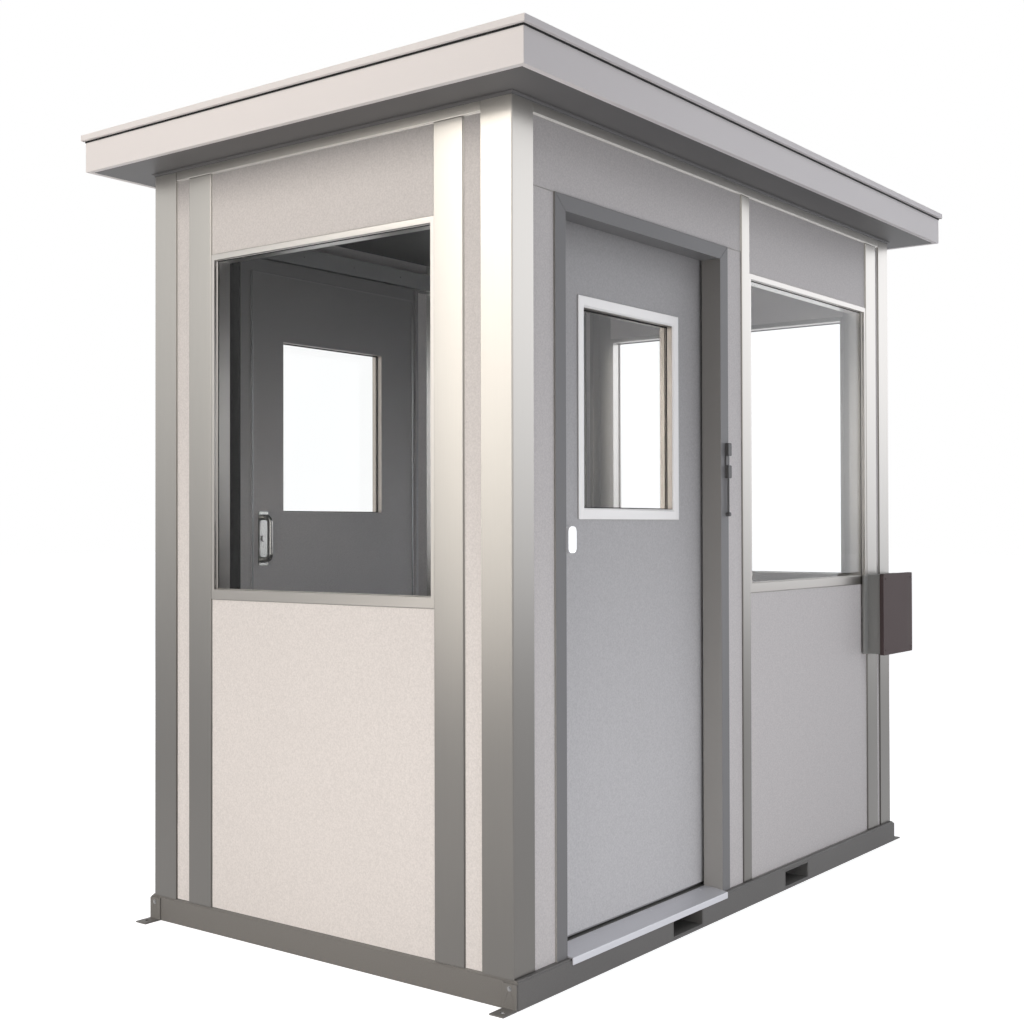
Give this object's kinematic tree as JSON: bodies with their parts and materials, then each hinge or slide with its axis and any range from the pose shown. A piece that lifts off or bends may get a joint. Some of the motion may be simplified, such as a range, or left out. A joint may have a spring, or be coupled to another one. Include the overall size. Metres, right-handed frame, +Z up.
{
  "type": "security guard booth",
  "caption": "Transportable guard booth: panelled walls between aluminium posts, large fixed windows, opposed sliding doors, flat overhanging roof and a steel base with fork pockets.",
  "frame": {"origin": "on the ground under the middle of the roof", "axes": "+Z up, +X along the length from the glazed front end wall to the rear, +Y across from the near door to the far one"},
  "size_m": [2.962, 1.866, 2.64],
  "materials": {
    "base_steel": "satin paint on steel",
    "floor": "matt coated deck",
    "post_aluminium": "satin mill finish",
    "wall_panel": "smooth satin paint",
    "fascia": "smooth satin paint",
    "soffit": "matt paint",
    "ceiling": "satin paint",
    "window_bar": "satin",
    "glass": "clear, faintly grey",
    "door_frame": "dark satin",
    "bright_metal": "brushed",
    "track_steel": "satin",
    "door_leaf": "smooth satin paint",
    "lite_trim": "satin",
    "rubber": "matt",
    "box_grey": "satin",
    "box_brown": "satin",
    "catch_black": "satin"
  },
  "bodies": {
    "booth": {"base_long_rails": "base_steel", "base_end_rails": "base_steel", "fork_pockets": "base_steel", "anchor_clips": "base_steel", "floor_deck": "floor", "corner_posts": "post_aluminium", "end_wall_studs": "post_aluminium", "long_wall_mullions": "post_aluminium", "front_wall_panels": "wall_panel", "rear_wall_panels": "wall_panel", "near_wall_panels": "wall_panel", "far_wall_panels": "wall_panel", "near_door_side_panels": "wall_panel", "far_door_side_panels": "wall_panel", "front_window_frame": "window_bar", "rear_window_frame": "window_bar", "near_window_frame": "window_bar", "far_window_frame": "window_bar", "window_glass": "glass", "near_door_frame": "door_frame", "far_door_frame": "door_frame", "door_thresholds": "bright_metal", "door_tracks": "track_steel", "wall_top_rails": "post_aluminium", "soffit_trim": "soffit", "ceiling_panel": "ceiling", "roof_panel": "soffit", "end_fascias": "fascia", "side_fascias": "fascia", "roof_cap": "fascia", "breaker_box": "box_grey", "breaker_box_cover": "box_brown", "jamb_catch": "catch_black"},
    "near_door": {"near_door_leaf": "door_leaf", "near_door_lite_frame": "lite_trim", "near_door_lite_glass": "glass", "near_door_handles": "bright_metal", "near_door_hangers": "track_steel", "near_door_nose": "rubber"},
    "far_door": {"far_door_leaf": "door_leaf", "far_door_lite_frame": "lite_trim", "far_door_lite_glass": "glass", "far_door_handles": "bright_metal", "far_door_hangers": "track_steel", "far_door_nose": "rubber"}
  },
  "joints": [
    {"name": "near_door_slide", "type": "slide", "parent": "booth", "child": "near_door", "axis": [1, 0, 0], "range_m": [0, 0.74]},
    {"name": "far_door_slide", "type": "slide", "parent": "booth", "child": "far_door", "axis": [1, 0, 0], "range_m": [0, 0.74]}
  ]
}
